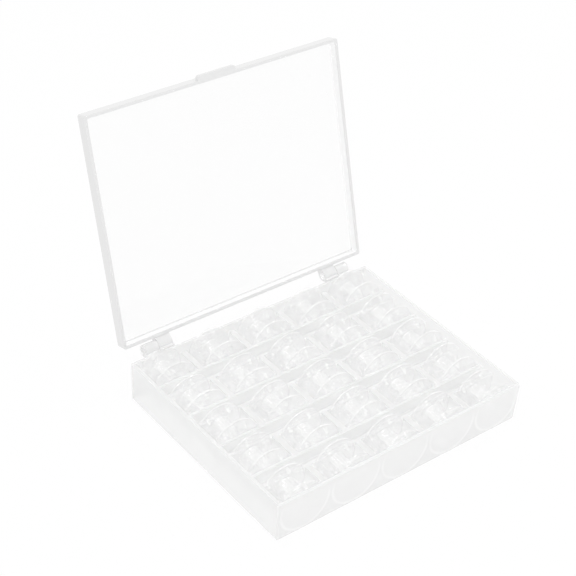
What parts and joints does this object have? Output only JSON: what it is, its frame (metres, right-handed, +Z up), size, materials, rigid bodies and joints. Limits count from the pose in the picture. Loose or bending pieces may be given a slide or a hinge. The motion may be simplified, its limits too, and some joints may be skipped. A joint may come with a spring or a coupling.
{
  "type": "bobbin storage box",
  "caption": "Clear moulded box with rows of round-floored cells that hold sewing bobbins on edge, and a shallow hinged lid with a thumb tab.",
  "frame": {"origin": "on the ground, under the middle of the tray, in the foot of the middle cell", "axes": "+Z up, +Y from the front wall to the hinge, +X along the hinge to the right seen from the front"},
  "size_m": [0.123, 0.1341, 0.117],
  "materials": {
    "tray_plastic": "clear polished moulding",
    "lid_plastic": "clear polished moulding",
    "bobbin_plastic": "clear polished moulding"
  },
  "bodies": {
    "base_tray": {"base_tray": "tray_plastic"},
    "lid": {"lid": "lid_plastic"},
    "bobbin_r1c1": {"bobbin_r1c1": "bobbin_plastic"},
    "bobbin_r1c2": {"bobbin_r1c2": "bobbin_plastic"},
    "bobbin_r1c3": {"bobbin_r1c3": "bobbin_plastic"},
    "bobbin_r1c4": {"bobbin_r1c4": "bobbin_plastic"},
    "bobbin_r1c5": {"bobbin_r1c5": "bobbin_plastic"},
    "bobbin_r2c1": {"bobbin_r2c1": "bobbin_plastic"},
    "bobbin_r2c2": {"bobbin_r2c2": "bobbin_plastic"},
    "bobbin_r2c3": {"bobbin_r2c3": "bobbin_plastic"},
    "bobbin_r2c4": {"bobbin_r2c4": "bobbin_plastic"},
    "bobbin_r2c5": {"bobbin_r2c5": "bobbin_plastic"},
    "bobbin_r3c1": {"bobbin_r3c1": "bobbin_plastic"},
    "bobbin_r3c2": {"bobbin_r3c2": "bobbin_plastic"},
    "bobbin_r3c3": {"bobbin_r3c3": "bobbin_plastic"},
    "bobbin_r3c4": {"bobbin_r3c4": "bobbin_plastic"},
    "bobbin_r3c5": {"bobbin_r3c5": "bobbin_plastic"},
    "bobbin_r4c1": {"bobbin_r4c1": "bobbin_plastic"},
    "bobbin_r4c2": {"bobbin_r4c2": "bobbin_plastic"},
    "bobbin_r4c3": {"bobbin_r4c3": "bobbin_plastic"},
    "bobbin_r4c4": {"bobbin_r4c4": "bobbin_plastic"},
    "bobbin_r4c5": {"bobbin_r4c5": "bobbin_plastic"},
    "bobbin_r5c1": {"bobbin_r5c1": "bobbin_plastic"},
    "bobbin_r5c2": {"bobbin_r5c2": "bobbin_plastic"},
    "bobbin_r5c3": {"bobbin_r5c3": "bobbin_plastic"},
    "bobbin_r5c4": {"bobbin_r5c4": "bobbin_plastic"},
    "bobbin_r5c5": {"bobbin_r5c5": "bobbin_plastic"}
  },
  "joints": [
    {"name": "lid_hinge", "type": "hinge", "parent": "base_tray", "child": "lid", "pos_m": [0, 0.05215, 0.0184], "axis": [-1, 0, 0], "range_deg": [-106.64, 0]},
    {"name": "lift_r1c1", "type": "slide", "parent": "base_tray", "child": "bobbin_r1c1", "axis": [0, 0, 1], "range_m": [0, 0.02]},
    {"name": "lift_r1c2", "type": "slide", "parent": "base_tray", "child": "bobbin_r1c2", "axis": [0, 0, 1], "range_m": [0, 0.02]},
    {"name": "lift_r1c3", "type": "slide", "parent": "base_tray", "child": "bobbin_r1c3", "axis": [0, 0, 1], "range_m": [0, 0.02]},
    {"name": "lift_r1c4", "type": "slide", "parent": "base_tray", "child": "bobbin_r1c4", "axis": [0, 0, 1], "range_m": [0, 0.02]},
    {"name": "lift_r1c5", "type": "slide", "parent": "base_tray", "child": "bobbin_r1c5", "axis": [0, 0, 1], "range_m": [0, 0.02]},
    {"name": "lift_r2c1", "type": "slide", "parent": "base_tray", "child": "bobbin_r2c1", "axis": [0, 0, 1], "range_m": [0, 0.02]},
    {"name": "lift_r2c2", "type": "slide", "parent": "base_tray", "child": "bobbin_r2c2", "axis": [0, 0, 1], "range_m": [0, 0.02]},
    {"name": "lift_r2c3", "type": "slide", "parent": "base_tray", "child": "bobbin_r2c3", "axis": [0, 0, 1], "range_m": [0, 0.02]},
    {"name": "lift_r2c4", "type": "slide", "parent": "base_tray", "child": "bobbin_r2c4", "axis": [0, 0, 1], "range_m": [0, 0.02]},
    {"name": "lift_r2c5", "type": "slide", "parent": "base_tray", "child": "bobbin_r2c5", "axis": [0, 0, 1], "range_m": [0, 0.02]},
    {"name": "lift_r3c1", "type": "slide", "parent": "base_tray", "child": "bobbin_r3c1", "axis": [0, 0, 1], "range_m": [0, 0.02]},
    {"name": "lift_r3c2", "type": "slide", "parent": "base_tray", "child": "bobbin_r3c2", "axis": [0, 0, 1], "range_m": [0, 0.02]},
    {"name": "lift_r3c3", "type": "slide", "parent": "base_tray", "child": "bobbin_r3c3", "axis": [0, 0, 1], "range_m": [0, 0.02]},
    {"name": "lift_r3c4", "type": "slide", "parent": "base_tray", "child": "bobbin_r3c4", "axis": [0, 0, 1], "range_m": [0, 0.02]},
    {"name": "lift_r3c5", "type": "slide", "parent": "base_tray", "child": "bobbin_r3c5", "axis": [0, 0, 1], "range_m": [0, 0.02]},
    {"name": "lift_r4c1", "type": "slide", "parent": "base_tray", "child": "bobbin_r4c1", "axis": [0, 0, 1], "range_m": [0, 0.02]},
    {"name": "lift_r4c2", "type": "slide", "parent": "base_tray", "child": "bobbin_r4c2", "axis": [0, 0, 1], "range_m": [0, 0.02]},
    {"name": "lift_r4c3", "type": "slide", "parent": "base_tray", "child": "bobbin_r4c3", "axis": [0, 0, 1], "range_m": [0, 0.02]},
    {"name": "lift_r4c4", "type": "slide", "parent": "base_tray", "child": "bobbin_r4c4", "axis": [0, 0, 1], "range_m": [0, 0.02]},
    {"name": "lift_r4c5", "type": "slide", "parent": "base_tray", "child": "bobbin_r4c5", "axis": [0, 0, 1], "range_m": [0, 0.02]},
    {"name": "lift_r5c1", "type": "slide", "parent": "base_tray", "child": "bobbin_r5c1", "axis": [0, 0, 1], "range_m": [0, 0.02]},
    {"name": "lift_r5c2", "type": "slide", "parent": "base_tray", "child": "bobbin_r5c2", "axis": [0, 0, 1], "range_m": [0, 0.02]},
    {"name": "lift_r5c3", "type": "slide", "parent": "base_tray", "child": "bobbin_r5c3", "axis": [0, 0, 1], "range_m": [0, 0.02]},
    {"name": "lift_r5c4", "type": "slide", "parent": "base_tray", "child": "bobbin_r5c4", "axis": [0, 0, 1], "range_m": [0, 0.02]},
    {"name": "lift_r5c5", "type": "slide", "parent": "base_tray", "child": "bobbin_r5c5", "axis": [0, 0, 1], "range_m": [0, 0.02]}
  ]
}
